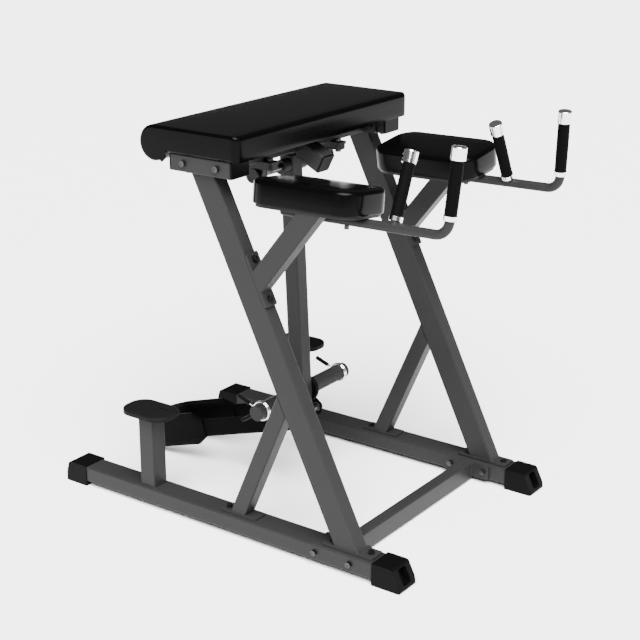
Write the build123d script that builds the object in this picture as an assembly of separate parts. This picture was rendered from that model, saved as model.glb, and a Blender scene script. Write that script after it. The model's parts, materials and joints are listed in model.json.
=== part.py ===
"""Reverse hyperextension machine: steel frame, pads, elbow rests and a swinging weight arm.

Millimetres, +Z up, +X towards the hand grips, +Y to the left of someone lying on the pad.
The origin lies on the floor, below the middle of the machine's outline.
"""
import os
from math import cos, radians, tan

from build123d import *

# Running and fitting clearances
pin_clearance = 0.05
soft_clearance = 0.3
hole_clearance = 0.5

# Steel tube walls
tube_wall = 3.0
tube_corner = 5.0

# Base rails, flat rectangular tube
base_width = 840.0
rail_width = 80.0
rail_height = 50.0
rail_front_x = 501.0
rail_length = 1093.0
rail_insert = 45.0

# Rubber foot caps on the rail ends
cap_sole = 15.0
cap_side = 3.0
cap_toe_height = 8.0
cap_corner = 10.0
front_cap_length = 97.0
front_cap_top = 56.0
front_cap_toe = 68.0
rear_cap_length = 91.0
rear_cap_top = 63.0
rear_cap_toe = 74.0
cap_recess_width = 38.0
cap_recess_height = 50.0
cap_recess_corner = 8.0
cap_recess_depth = 22.0

# Flange plates that bolt the cross members on
flange_length = 160.0
flange_width = 50.0
flange_thickness = 8.0
flange_bolt_spacing = 120.0

# Front cross beam
beam_depth = 40.0
beam_height = 60.0
beam_x = 364.5

# Main legs, leaning back
leg_lean_angle = 25.9
leg_depth = 76.0
leg_width = 50.0
leg_foot_x = 407.0
leg_plate_length = 174.0
leg_plate_width = 56.0
leg_plate_thickness = 8.0
leg_bolt_spacing = 132.0

# Lower braces, leaning forward to the back of the legs
lower_brace_lean_angle = 23.4
lower_brace_size = 50.0
lower_brace_foot_x = 10.0
lower_plate_length = 132.0
lower_plate_x = 14.0
lower_plate_thickness = 6.0
lower_bolt_x = -36.0

# Upper braces, from the legs to the elbow rests
upper_flange_along = 804.0
upper_brace_angle = 51.3
upper_brace_depth = 60.0
upper_brace_width = 50.0
upper_brace_drop = 6.0

# Top frame under the hip pad
top_frame_top_z = 1136.0
top_frame_x = -84.0
side_tube_width = 80.0
side_tube_height = 50.0
side_tube_length = 212.0
plug_lip = 6.0
plug_depth = 18.0
cross_tube_width = 80.0

# Pillow block bearings and shaft
bearing_y = 170.0
shaft_diameter = 25.0
shaft_length = 372.0
bearing_height = 38.0
housing_diameter = 50.0
housing_width = 22.0
housing_inset = 6.0
housing_foot_length = 140.0
housing_foot_width = 38.0
housing_foot_thickness = 15.0
housing_bolt_spacing = 105.0
insert_diameter = 42.0
insert_width = 22.0
seal_diameter = 45.0
seal_width = 10.5
base_plate_thickness = 8.0
shaft_collar_diameter = 40.0
shaft_collar_width = 12.0
shaft_disc_diameter = 45.0
shaft_disc_thickness = 4.0
shaft_disc_recess = 30.0

# Stop arm on the front of the top cross tube
stop_arm_slope_angle = 26.5
stop_arm_size = 57.0
stop_arm_reach = 84.0
stop_arm_end_z = 1059.5
bumper_diameter = 22.0
bumper_height = 6.0
bumper_back = -78.0

# Pendulum
pendulum_lean_angle = 2.65
pendulum_size = 50.0
pendulum_wall = 4.0
pendulum_above = 29.0
pendulum_length = 845.0
hub_diameter = 44.0
hub_length = 110.0

# Weight horn through the pendulum
horn_above_pin = 77.0
horn_diameter = 50.0
horn_wall = 4.0
horn_relief = 0.3
horn_length = 436.0
horn_seat_gap = 0.5
horn_cap_diameter = 49.0
horn_cap_length = 12.0
horn_cap_spigot = 20.0
stop_disc_diameter = 84.0
stop_disc_thickness = 14.0

# Spring collars on the horn
collar_wire = 6.0
collar_gap = 0.3
collar_inset = 10.3
outer_tang_angle = 22.0
inner_tang_angle = -30.0
collar_tang_length = 16.0
collar_sleeve_length = 50.0
collar_sleeve_diameter = 12.5
collar_sleeve_overlap = 10.0

# Ankle strap and its pin
strap_pin_up = 44.0
strap_pin_diameter = 16.0
strap_pin_shoulder = 24.0
strap_pin_head = 32.0
strap_pin_head_length = 6.0
strap_droop_angle = 17.3
strap_half_width = 80.0
strap_web = 6.0
strap_web_height = 58.0
strap_pad = 16.0
strap_pad_height = 108.0
strap_taper_start = 353.0
strap_taper_end = 394.0
strap_turn_centre = 538.0

# Hip pad
pad_overhang = 7.0
pad_front_x = 55.0
pad_roll_x = -250.0
pad_thickness = 73.0
pad_roll_diameter = 103.0
pad_front_radius = 14.0
pad_corner_radius = 26.0
board_thickness = 16.0
board_margin = 8.0
board_rear_x = -196.0

# Elbow rests
rest_x = 237.0
rest_y = 309.0
rest_z = 1019.0
rest_cant_angle = 7.5
rest_pitch_angle = 1.2
rest_length = 351.0
rest_width = 210.0
rest_corner = 64.0
rest_thickness = 68.0
rest_edge_radius = 9.0
rest_board_thickness = 12.0
rest_board_margin = 10.0
rest_plate_thickness = 8.0
rest_plate_margin = 8.0

# Handle bars
handle_y = 311.0
handle_diameter = 27.0
handle_wall = 2.5
handle_rear_x = 120.0
handle_corner_x = 649.0
handle_bend_radius = 42.0
front_grip_forward_angle = 3.9
front_grip_inward_angle = 4.9
rear_grip_x = 485.0
rear_grip_backward_angle = 1.4
rear_grip_inward_angle = 24.9
front_ring_distance = 49.0
rear_ring_distance = 24.0
grip_length = 145.0
grip_diameter = 34.0
grip_ring_diameter = 37.0
grip_ring_length = 12.0
grip_cap_diameter = 40.0
grip_cap_length = 35.0
grip_cap_overlap = 24.0
rest_front_bolt_x = 100.0
rest_rear_bolt_x = -70.0

# Foot steps near the rear
step_x = -340.0
step_post_size = 58.0
step_top_z = 314.0
step_pad_length = 178.0
step_pad_width = 118.0
step_pad_corner = 50.0
step_pad_thickness = 14.0
step_slot_length = 40.0
step_slot_width = 6.0
step_slot_depth = 2.0
step_slot_forward = 34.0
step_slot_inward = 18.0
step_plate_length = 120.0
step_plate_width = 80.0
step_plate_thickness = 5.0

# Fasteners
bolt_diameter = 10.0
bolt_head_flats = 17.0
bolt_head_height = 6.5
washer_diameter = 21.0
washer_thickness = 2.0
nut_height = 8.0
bolt_tail = 2.0
cap_screw_diameter = 8.0
cap_screw_head = 14.0
cap_screw_head_height = 10.0

# Worked-out places
sides = {"right": -1, "left": 1}
rail_y = (base_width - rail_width) / 2
rail_top_z = cap_sole + rail_height
rail_middle_z = cap_sole + rail_height / 2
rail_rear_x = rail_front_x - rail_length
rail_middle_x = rail_front_x - rail_length / 2
inner_y = base_width / 2 - rail_width
leg_foot_z = rail_top_z + leg_plate_thickness
side_tube_bottom_z = top_frame_top_z - side_tube_height
side_tube_middle_z = top_frame_top_z - side_tube_height / 2
base_plate_bottom_z = side_tube_bottom_z - base_plate_thickness
pivot_z = base_plate_bottom_z - bearing_height
barrel_y = bearing_y - housing_inset
strap_drop = pendulum_length - strap_pin_up
horn_drop = strap_drop - horn_above_pin
disc_face_y = pendulum_size / 2 + stop_disc_thickness
collar_inner_y = horn_length / 2 - collar_inset - 2 * collar_wire - collar_gap
pivot = Location((top_frame_x, 0, pivot_z), (0, -pendulum_lean_angle, 0))
pad_top_z = top_frame_top_z + pad_thickness
pad_width = base_width + 2 * pad_overhang
tall = 4000.0


def write(name, solids):
    """Writes one node as parts/NAME.step."""
    pieces = solids if isinstance(solids, (list, tuple)) else [solids]
    found = [solid for piece in pieces for solid in piece.solids()]
    whole = found[0] if len(found) == 1 else Compound(children=found)
    whole.label = name
    export_step(whole, f"parts/{name}.step")


def tube(length, width, height, wall=tube_wall):
    """Rectangular tube along Z, width along X and height along Y."""
    outside = extrude(RectangleRounded(width, height, tube_corner), length / 2, both=True)
    inner_corner = max(tube_corner - wall, 1.0)
    bore = RectangleRounded(width - 2 * wall, height - 2 * wall, inner_corner)
    return outside - extrude(bore, length / 2, both=True)


def round_tube(length, diameter, wall):
    """Round tube along Z, centred."""
    return Cylinder(diameter / 2, length) - Cylinder(diameter / 2 - wall, length)


def slab(z_low, z_high):
    """Wide level slab that trims a leaning piece between two heights."""
    return Pos(0, 0, (z_low + z_high) / 2) * Box(tall, tall, z_high - z_low)


def hexagon(flats, height):
    """Hexagonal prism that stands on Z = 0."""
    return extrude(RegularPolygon(flats / 2, 6, major_radius=False), height)


def bolt(grip):
    """Bolt, washer and nut: the head seats on Z = 0 and the shank points down."""
    radius = bolt_diameter / 2
    washer = Cylinder(washer_diameter / 2, washer_thickness) - Cylinder(radius, washer_thickness)
    head = Pos(0, 0, washer_thickness) * hexagon(bolt_head_flats, bolt_head_height)
    dimple = Pos(0, 0, washer_thickness + bolt_head_height) * Cylinder(radius, 2.0)
    shank_length = grip + nut_height + bolt_tail + washer_thickness
    shank = Pos(0, 0, washer_thickness - shank_length / 2) * Cylinder(radius, shank_length)
    screw = head - dimple + shank
    thread = Cylinder(radius + pin_clearance, 3 * nut_height)
    nut = Pos(0, 0, -grip - nut_height) * hexagon(bolt_head_flats, nut_height)
    return [screw, Pos(0, 0, washer_thickness / 2) * washer], nut - Pos(0, 0, -grip) * thread


def bolt_hole(grip):
    """Clearance hole for a bolt whose head seats on Z = 0."""
    return Pos(0, 0, -grip / 2) * Cylinder(bolt_diameter / 2 + hole_clearance, grip + 4.0)


def cap_screw(grip, bite):
    """Socket screw from below: the head hangs under Z = 0, the shank goes up."""
    radius = cap_screw_diameter / 2
    head = Pos(0, 0, -cap_screw_head_height / 2) * Cylinder(cap_screw_head / 2, cap_screw_head_height)
    socket = Pos(0, 0, -cap_screw_head_height) * Cylinder(radius - 1.0, cap_screw_head_height)
    shank = Pos(0, 0, (grip + bite) / 2) * Cylinder(radius, grip + bite)
    return head - socket + shank


def cap_screw_hole(grip, bite):
    """Clearance hole for a socket screw whose head seats under Z = 0."""
    depth = grip + bite + 1.0
    return Pos(0, 0, depth / 2 - 0.5) * Cylinder(cap_screw_diameter / 2 + hole_clearance, depth + 1.0)


def flange(holes=True):
    """Bolted flange plate, long along X, thin along Z, its back on Z = 0."""
    plate = extrude(RectangleRounded(flange_length, flange_width, 6.0), flange_thickness)
    if not holes:
        return plate
    for place in flange_bolt_places():
        plate -= place * Cylinder(bolt_diameter / 2 + hole_clearance, 4 * flange_thickness)
    return plate


def flange_bolt_places():
    """The two bolt places on a flange plate."""
    half = flange_bolt_spacing / 2
    return [Pos(-half, 0, 0), Pos(half, 0, 0)]


# Frame bolts: place of the head seat and the length gripped
frame_bolts = []


def leg_frame(side):
    """Frame on a leg's axis: Z up along the leg, X square to its front face."""
    return Location((leg_foot_x, side * rail_y, rail_top_z), (0, -leg_lean_angle, 0))


def rest_frame(side):
    """Frame of an elbow rest: Z = 0 is the underside of the cushion."""
    return Location((rest_x, side * rest_y, rest_z), (side * rest_cant_angle, -rest_pitch_angle, 0))


for side in sides.values():
    for x in (leg_foot_x - leg_bolt_spacing / 2, leg_foot_x + leg_bolt_spacing / 2):
        frame_bolts.append((Pos(x, side * rail_y, leg_foot_z), leg_plate_thickness + rail_height))
    brace_seat = rail_top_z + lower_plate_thickness
    frame_bolts.append((Pos(lower_bolt_x, side * rail_y, brace_seat), lower_plate_thickness + rail_height))
    outward = Location((0, 0, 0), (side * -90, 0, 0))
    for middle_x, z in ((beam_x, rail_middle_z), (top_frame_x, side_tube_middle_z)):
        for half in (-flange_bolt_spacing / 2, flange_bolt_spacing / 2):
            seat = Pos(middle_x + half, side * base_width / 2, z) * outward
            frame_bolts.append((seat, rail_width + flange_thickness))
    for half in (-flange_bolt_spacing / 2, flange_bolt_spacing / 2):
        seat = Pos(leg_depth / 2 + flange_thickness, 0, upper_flange_along + half)
        turned = leg_frame(side) * seat * Location((0, 0, 0), (0, 90, 0))
        frame_bolts.append((turned, flange_thickness + tube_wall))
    for half in (-housing_bolt_spacing / 2, housing_bolt_spacing / 2):
        seat = Pos(top_frame_x + half, side * bearing_y, base_plate_bottom_z - housing_foot_thickness)
        upside = seat * Location((0, 0, 0), (180, 0, 0))
        frame_bolts.append((upside, housing_foot_thickness + base_plate_thickness))


def drilled(piece):
    """The piece with every frame bolt's hole cut through it."""
    box = piece.bounding_box()
    for place, grip in frame_bolts:
        hole = place * bolt_hole(grip)
        reach = hole.bounding_box()
        apart = (reach.min.X > box.max.X or reach.max.X < box.min.X
                 or reach.min.Y > box.max.Y or reach.max.Y < box.min.Y
                 or reach.min.Z > box.max.Z or reach.max.Z < box.min.Z)
        if not apart:
            piece -= hole
    return piece


def base_rail(side):
    """Base rail, running from one foot cap to the other."""
    length = rail_length + 2 * rail_insert
    rail = Rot(0, 90, 0) * tube(length, rail_height, rail_width)
    return drilled(Pos(rail_middle_x, side * rail_y, rail_middle_z) * rail)


def foot_cap(side, end):
    """Rubber cap on a rail end: thick sole, sloping toe with a recess; end is +1 at the front."""
    if end > 0:
        length, top_length, toe_length = front_cap_length, front_cap_top, front_cap_toe
    else:
        length, top_length, toe_length = rear_cap_length, rear_cap_top, rear_cap_toe
    top = rail_top_z + cap_side
    width = rail_width + 2 * cap_side
    outline = make_face(Polyline((0, 0), (length - cap_toe_height / 2, 0), (length, cap_toe_height),
                                 (toe_length, top), (0, top), close=True))
    shoulder = outline.vertices().sort_by_distance((toe_length, top))[0]
    outline = fillet(shoulder, toe_length - top_length)
    body = extrude(Plane.XZ * outline, width / 2, both=True)
    body &= extrude(RectangleRounded(2 * length, width, cap_corner), top)
    socket = extrude(RectangleRounded(rail_height, rail_width, tube_corner), rail_insert / 2, both=True)
    body -= Pos(rail_insert / 2, 0, rail_middle_z) * Rot(0, 90, 0) * socket
    slope = Vector(toe_length - length, 0, top - cap_toe_height)
    face = Plane(origin=(length, 0, cap_toe_height), x_dir=(0, 1, 0), z_dir=slope.cross(Vector(0, -1, 0)))
    recess = RectangleRounded(cap_recess_width, cap_recess_height, cap_recess_corner)
    body -= extrude(face * Pos(0, slope.length / 2) * recess, cap_recess_depth, both=True)
    turned = body if end > 0 else Rot(0, 0, 180) * body
    return Pos(rail_front_x if end > 0 else rail_rear_x, side * rail_y, 0) * turned


def cross_member(x, middle_z, flange_z, width, height):
    """Tube across the machine with a bolted flange plate welded on each end."""
    length = 2 * (inner_y - flange_thickness)
    body = Pos(x, 0, middle_z) * Rot(90, 0, 0) * tube(length, width, height)
    for side in sides.values():
        seat = Pos(x, side * inner_y, flange_z) * Location((0, 0, 0), (side * 90, 0, 0))
        body += seat * flange(holes=False)
    return drilled(body)


def leaning_tube(place, lean, depth, width, z_low, z_high):
    """Tube that leans in the XZ plane, trimmed level at both ends; place is on its axis."""
    rod = tube(tall, depth, width)
    return (place * Rot(0, lean, 0) * rod) & slab(z_low, z_high)


def main_leg(side):
    """Main leg with its foot plate, trimmed under the top side tube."""
    foot = Pos(leg_foot_x, side * rail_y, rail_top_z)
    leg = leaning_tube(foot, -leg_lean_angle, leg_depth, leg_width, leg_foot_z, side_tube_bottom_z)
    plate = RectangleRounded(leg_plate_length, leg_plate_width, 5.0)
    leg += foot * extrude(plate, leg_plate_thickness)
    return drilled(leg)


def lower_brace(side):
    """Lower brace with its foot plate; its top is cut along the back of the leg."""
    foot = Pos(lower_brace_foot_x, side * rail_y, rail_top_z)
    low = rail_top_z + lower_plate_thickness
    size = lower_brace_size
    brace = leaning_tube(foot, lower_brace_lean_angle, size, size, low, side_tube_bottom_z)
    brace -= leg_frame(side) * Pos(tall / 2 - leg_depth / 2, 0, 0) * Box(tall, tall, 2 * tall)
    plate = RectangleRounded(lower_plate_length, leg_plate_width, 5.0)
    brace += Pos(lower_plate_x, side * rail_y, rail_top_z) * extrude(plate, lower_plate_thickness)
    return drilled(brace)


def upper_brace(side):
    """Upper brace: flange on the leg's front face, top cut under the elbow rest's plate."""
    seat = leg_frame(side) * Pos(leg_depth / 2, 0, upper_flange_along)
    back = seat * Location((0, 0, 0), (0, 90, 0))
    foot = (leg_frame(side) * Pos(leg_depth / 2, 0, upper_flange_along - upper_brace_drop)).position
    rod = tube(tall / 2, upper_brace_depth, upper_brace_width)
    brace = Pos(foot.X, foot.Y, foot.Z) * Rot(0, 90 - upper_brace_angle, 0) * rod
    behind = Pos(flange_thickness - tall / 2, 0, 0) * Box(tall, tall, 2 * tall)
    brace -= seat * behind
    above = Pos(0, 0, tall / 2 - rest_plate_thickness) * Box(tall, tall, tall)
    brace -= rest_frame(side) * above
    brace += back * flange(holes=False)
    return drilled(brace)


def top_side_tube(side):
    """Short tube along the machine under one end of the hip pad."""
    body = Rot(0, 90, 0) * tube(side_tube_length, side_tube_height, side_tube_width)
    body = drilled(Pos(top_frame_x, side * rail_y, side_tube_middle_z) * body)
    for place in hip_screw_places():
        if place.position.Y * side > 0:
            body -= place * cap_screw_hole(side_tube_height, 0)
    return body


def end_plug(width, height, wall, depth=plug_depth):
    """Plastic plug for a tube end: lip above Z = 0, spigot below."""
    lip = extrude(RectangleRounded(width, height, tube_corner), plug_lip)
    lip = fillet(lip.faces().sort_by(Axis.Z)[-1].edges(), 2.5)
    inner_corner = max(tube_corner - wall, 1.0)
    spigot = RectangleRounded(width - 2 * wall - 0.6, height - 2 * wall - 0.6, inner_corner)
    return lip + extrude(spigot, -depth)


def top_tube_plugs():
    """Plugs of the two side tubes and of the stop arm."""
    plugs = []
    for side in sides.values():
        for end in (-1, 1):
            turn = Location((0, 0, 0), (0, 90 * end, 0))
            place = Pos(top_frame_x + end * side_tube_length / 2, side * rail_y, side_tube_middle_z)
            plugs.append(place * turn * end_plug(side_tube_height, side_tube_width, tube_wall))
    plugs.append(stop_arm_frame() * end_plug(stop_arm_size, stop_arm_size, tube_wall))
    return plugs


def top_cross_tube():
    """Cross tube under the hip pad, with flanges and the plates that carry the bearings."""
    middle_z = side_tube_middle_z
    body = cross_member(top_frame_x, middle_z, middle_z, cross_tube_width, side_tube_height)
    for side in sides.values():
        plate = RectangleRounded(housing_foot_length, housing_foot_width + 4.0, 5.0)
        place = Pos(top_frame_x, side * bearing_y, base_plate_bottom_z)
        body += place * extrude(plate, base_plate_thickness)
    return drilled(body)


def stop_arm_frame():
    """Frame at the stop arm's open end, Z along the arm, away from the machine."""
    x = top_frame_x + cross_tube_width / 2 + stop_arm_reach
    return Location((x, 0, stop_arm_end_z), (0, 90 + stop_arm_slope_angle, 0))


def stop_arm():
    """Short sloping tube on the front of the cross tube, above the pendulum's head."""
    length = tall / 8
    arm = stop_arm_frame() * Pos(0, 0, -length / 2) * tube(length, stop_arm_size, stop_arm_size)
    wall_x = top_frame_x + cross_tube_width / 2
    return arm - Pos(wall_x - tall / 2, 0, 0) * Box(tall, tall, 2 * tall)


def stop_bumper():
    """Round rubber buffer under the root of the stop arm."""
    place = stop_arm_frame() * Pos(stop_arm_size / 2, 0, bumper_back)
    button = extrude(Circle(bumper_diameter / 2), bumper_height)
    button = fillet(button.faces().sort_by(Axis.Z)[-1].edges(), 2.0)
    return place * Rot(0, 90, 0) * button


def bearing_housing(side):
    """Bearing housing that hangs under its plate, its seat kept plain."""
    place = Pos(top_frame_x, side * bearing_y, pivot_z)
    inset = Pos(0, -side * housing_inset, 0)
    barrel = inset * Rot(90, 0, 0) * Cylinder(housing_diameter / 2, housing_width)
    foot_z = bearing_height - housing_foot_thickness / 2
    foot = Pos(0, 0, foot_z) * Box(housing_foot_length, housing_foot_width, housing_foot_thickness)
    foot = fillet(foot.edges().filter_by(Axis.Z), housing_foot_width * 0.3)
    web = Polyline((-housing_diameter / 2, 0), (housing_diameter / 2, 0),
                   (housing_diameter * 0.56, bearing_height - housing_foot_thickness),
                   (-housing_diameter * 0.56, bearing_height - housing_foot_thickness), close=True)
    body = barrel + foot + inset * extrude(Plane.XZ * make_face(web), housing_width * 0.4, both=True)
    body -= Rot(90, 0, 0) * Cylinder(insert_diameter / 2, 2 * housing_width)
    return drilled(place * body)


def bearing_insert(side):
    """Ball bearing insert, with its raised inner ring."""
    ring = Cylinder(insert_diameter / 2, housing_width - 10.0)
    ring += Cylinder(shaft_diameter / 2 + 6.0, insert_width)
    ring -= Cylinder(shaft_diameter / 2 + pin_clearance, 2 * insert_width)
    return Pos(top_frame_x, side * barrel_y, pivot_z) * Rot(90, 0, 0) * ring


def bearing_seal(side):
    """Rubber ring on the outer face of a bearing housing."""
    ring = Cylinder(seal_diameter / 2, seal_width)
    ring -= Cylinder(shaft_diameter / 2 + soft_clearance, 2 * seal_width)
    offset = barrel_y + housing_width / 2 + seal_width / 2
    return Pos(top_frame_x, side * offset, pivot_z) * Rot(90, 0, 0) * ring


def pivot_shaft():
    """Solid shaft through both bearings and the pendulum's hub."""
    shaft = Cylinder(shaft_diameter / 2, shaft_length)
    shaft = chamfer(shaft.edges().filter_by(GeomType.CIRCLE), 1.5)
    return pivot * Rot(90, 0, 0) * shaft


def shaft_collars():
    """Set collars inside the bearings and the recessed discs on the shaft's ends."""
    collars = []
    for side in sides.values():
        offset = barrel_y - insert_width / 2 - shaft_collar_width / 2 - soft_clearance
        ring = Cylinder(shaft_collar_diameter / 2, shaft_collar_width)
        ring -= Cylinder(shaft_diameter / 2, 2 * shaft_collar_width)
        collars.append(pivot * Pos(0, side * offset, 0) * Rot(90, 0, 0) * ring)
        disc = Pos(0, 0, shaft_disc_thickness / 2) * Cylinder(shaft_disc_diameter / 2, shaft_disc_thickness)
        disc -= Pos(0, 0, shaft_disc_thickness) * Cylinder(shaft_disc_recess / 2, shaft_disc_thickness / 2)
        collars.append(pivot * Pos(0, side * shaft_length / 2, 0) * Rot(-90 * side, 0, 0) * disc)
    return collars


def pendulum_arm():
    """Pendulum tube with the hub welded through its head, open for the strap's pin."""
    length = pendulum_above + pendulum_length
    body = Pos(0, 0, pendulum_above - length / 2) * tube(length, pendulum_size, pendulum_size, pendulum_wall)
    hub = Rot(90, 0, 0) * Cylinder(hub_diameter / 2, hub_length)
    body += hub
    body -= Rot(90, 0, 0) * Cylinder(shaft_diameter / 2, 2 * hub_length)
    body -= Pos(0, 0, -strap_drop) * Rot(90, 0, 0) * Cylinder(strap_pin_shoulder / 2, 2 * pendulum_size)
    return pivot * body


def pendulum_plugs():
    """Plugs that close the pendulum tube at the head and at the foot."""
    head_depth = pendulum_above - hub_diameter / 2 - 1.0
    head = end_plug(pendulum_size, pendulum_size, pendulum_wall, head_depth)
    foot = Rot(180, 0, 0) * end_plug(pendulum_size, pendulum_size, pendulum_wall)
    return [pivot * Pos(0, 0, pendulum_above) * head, pivot * Pos(0, 0, -pendulum_length) * foot]


def horn_frame(side=1):
    """Frame on the weight horn's axis at the pendulum, Z pointing outward."""
    return pivot * Pos(0, 0, -horn_drop) * Rot(-90 * side, 0, 0)


def weight_horn(side):
    """Plate horn on one side: full size where plates sit, relieved under the disc and the collar."""
    root = pendulum_size / 2
    core = round_tube(horn_length / 2 - root, horn_diameter - 2 * horn_relief, horn_wall)
    start = disc_face_y + horn_seat_gap
    end = collar_inner_y - horn_seat_gap
    seat = round_tube(end - start, horn_diameter, horn_wall)
    body = Pos(0, 0, (horn_length / 2 + root) / 2) * core + Pos(0, 0, (start + end) / 2) * seat
    return horn_frame(side) * body


def horn_caps():
    """End caps of the horn, pushed into the tube."""
    caps = []
    for side in sides.values():
        lip = extrude(Circle(horn_cap_diameter / 2), horn_cap_length)
        lip = fillet(lip.faces().sort_by(Axis.Z)[-1].edges(), 2.0)
        spigot = extrude(Circle(horn_diameter / 2 - horn_relief - horn_wall - 0.2), -horn_cap_spigot)
        caps.append(horn_frame(side) * Pos(0, 0, horn_length / 2) * (lip + spigot))
    return caps


def stop_discs():
    """Rubber discs that plates rest against, one each side of the pendulum."""
    discs = []
    for side in sides.values():
        disc = Cylinder(stop_disc_diameter / 2, stop_disc_thickness)
        disc = fillet(disc.edges().filter_by(GeomType.CIRCLE), 3.0)
        disc -= Cylinder(horn_diameter / 2 - horn_relief, 2 * stop_disc_thickness)
        discs.append(horn_frame(side) * Pos(0, 0, disc_face_y - stop_disc_thickness / 2) * disc)
    return discs


def collar_frame(side, coil):
    """Frame of one coil of a spring collar; coil 0 is the outer one."""
    coil_y = horn_length / 2 - collar_inset - collar_wire * (coil + 0.5) - coil * collar_gap
    angle = inner_tang_angle if coil else outer_tang_angle
    return pivot * Pos(0, side * coil_y, -horn_drop) * Rot(0, angle, 0)


def collar_coil(side, coil):
    """One coil of the collar's spring wire with its straight tang, which points to the rear."""
    radius = horn_diameter / 2 + soft_clearance + collar_wire / 2
    ring = Rot(90, 0, 0) * Torus(radius, collar_wire / 2)
    length = collar_tang_length + collar_sleeve_overlap
    tang = Pos(-radius - length / 2, 0, 0) * Rot(0, 90, 0) * Cylinder(collar_wire / 2, length)
    return collar_frame(side, coil) * (ring + tang)


def collar_sleeve(side, coil):
    """Black finger sleeve pushed over the tang."""
    start = horn_diameter / 2 + soft_clearance + collar_wire / 2 + collar_tang_length
    sleeve = Cylinder(collar_sleeve_diameter / 2, collar_sleeve_length)
    sleeve = fillet(sleeve.edges().filter_by(GeomType.CIRCLE), 3.0)
    place = Pos(-start - collar_sleeve_length / 2, 0, 0) * Rot(0, 90, 0)
    bore = Pos(-start - collar_sleeve_overlap / 2, 0, 0) * Rot(0, 90, 0)
    return collar_frame(side, coil) * (place * sleeve - bore * Cylinder(collar_wire / 2, collar_sleeve_overlap))


def strap_pin():
    """Cross pin at the pendulum's foot: shoulders inside the strap's ends, heads outside."""
    seat = strap_half_width - strap_web / 2 - soft_clearance
    gap = strap_half_width + strap_web / 2 + soft_clearance
    pin = Cylinder(strap_pin_shoulder / 2, 2 * seat) + Cylinder(strap_pin_diameter / 2, 2 * gap)
    for side in (-1, 1):
        offset = side * (gap + strap_pin_head_length / 2)
        head = Cylinder(strap_pin_head / 2, strap_pin_head_length)
        pin += Pos(0, 0, offset) * fillet(head.edges().filter_by(GeomType.CIRCLE), 1.5)
    return pivot * Pos(0, 0, -strap_drop) * Rot(90, 0, 0) * pin


def ankle_strap():
    """Webbing loop with a padded rear, both ends holed for the pin."""
    rear = strap_turn_centre
    side_shape = Polyline((0, strap_web_height / 2), (-strap_taper_start, strap_web_height / 2),
                          (-strap_taper_end, strap_pad_height / 2), (-tall / 4, strap_pad_height / 2),
                          (-tall / 4, -strap_pad_height / 2), (-strap_taper_end, -strap_pad_height / 2),
                          (-strap_taper_start, -strap_web_height / 2), (0, -strap_web_height / 2))
    nose = ThreePointArc((0, -strap_web_height / 2), (strap_web_height / 2, 0), (0, strap_web_height / 2))
    profile = extrude(Plane.XZ * make_face(side_shape + nose), tall / 4, both=True)
    web = racetrack(strap_web, -rear, strap_web_height)
    padding = racetrack(strap_pad, -rear, -strap_taper_start - strap_pad / 2)
    loop = profile & extrude(web + padding, strap_pad_height, both=True)
    loop -= Rot(90, 0, 0) * Cylinder(strap_pin_diameter / 2 + 2 * pin_clearance, 4 * strap_half_width)
    place = (pivot * Pos(0, 0, -strap_drop)).position
    return Pos(place.X, place.Y, place.Z) * Rot(0, -strap_droop_angle, 0) * loop


def racetrack(thickness, rear_x, front_x):
    """Plan of a U-shaped band: two straight sides and a half turn at the rear."""
    outer = strap_half_width + thickness / 2
    inner = strap_half_width - thickness / 2
    length = front_x - rear_x
    straight = Pos((front_x + rear_x) / 2, 0) * (Rectangle(length, 2 * outer) - Rectangle(length, 2 * inner))
    turn = Pos(rear_x, 0) * (Circle(outer) - Circle(inner))
    ahead = Pos(rear_x + tall / 2, 0) * Rectangle(tall, tall)
    return straight + (turn - ahead)


def hip_pad_outline(depth_top, depth_bottom):
    """Side profile of the hip pad: flat cushion with a large roll along its rear edge."""
    radius = pad_roll_diameter / 2
    roll_z = depth_top - radius
    top_front = (pad_front_x - pad_front_radius, depth_top)
    front_top = (pad_front_x, depth_top - pad_front_radius)
    slant = pad_front_radius * (1 - cos(radians(45)))
    cushion = Polyline((pad_roll_x, depth_top), top_front)
    cushion += ThreePointArc(top_front, (pad_front_x - slant, depth_top - slant), front_top)
    cushion += Polyline(front_top, (pad_front_x, depth_bottom), (pad_roll_x, depth_bottom),
                        (pad_roll_x, depth_top))
    return make_face(cushion) + Pos(pad_roll_x, roll_z) * Circle(radius)


def hip_pad():
    """Hip cushion over its board, with the rear roll."""
    profile = Plane.XZ * hip_pad_outline(pad_top_z, top_frame_top_z)
    body = extrude(profile, pad_width / 2, both=True)
    rear_x = pad_roll_x - pad_roll_diameter / 2
    plan = RectangleRounded(pad_front_x - rear_x, pad_width, pad_corner_radius)
    body &= Pos((pad_front_x + rear_x) / 2, 0, pad_top_z) * extrude(plan, 2 * pad_roll_diameter, both=True)
    return body - hip_board(with_holes=False)


def hip_board(with_holes=True):
    """Plywood board inside the cushion's underside."""
    length = pad_front_x - board_margin - board_rear_x
    middle_x = board_rear_x + length / 2
    plan = RectangleRounded(length, pad_width - 2 * board_margin, pad_corner_radius - board_margin)
    board = Pos(middle_x, 0, top_frame_top_z) * extrude(plan, board_thickness)
    if not with_holes:
        return board
    for place in hip_screw_places():
        board -= place * cap_screw_hole(side_tube_height, board_thickness - 3.0)
    return board


def hip_screw_places():
    """Seats of the screws that hold the hip pad, under the side tubes."""
    reach = side_tube_length / 2 - plug_depth - 14.0
    return [Pos(top_frame_x + end * reach, side * rail_y, side_tube_bottom_z)
            for side in sides.values() for end in (-1, 1)]


def rest_plan(margin, height):
    """Plan shape of an elbow rest, shrunk by a margin and given a height."""
    plan = RectangleRounded(rest_length - 2 * margin, rest_width - 2 * margin, rest_corner - margin)
    return extrude(plan, height)


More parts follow.
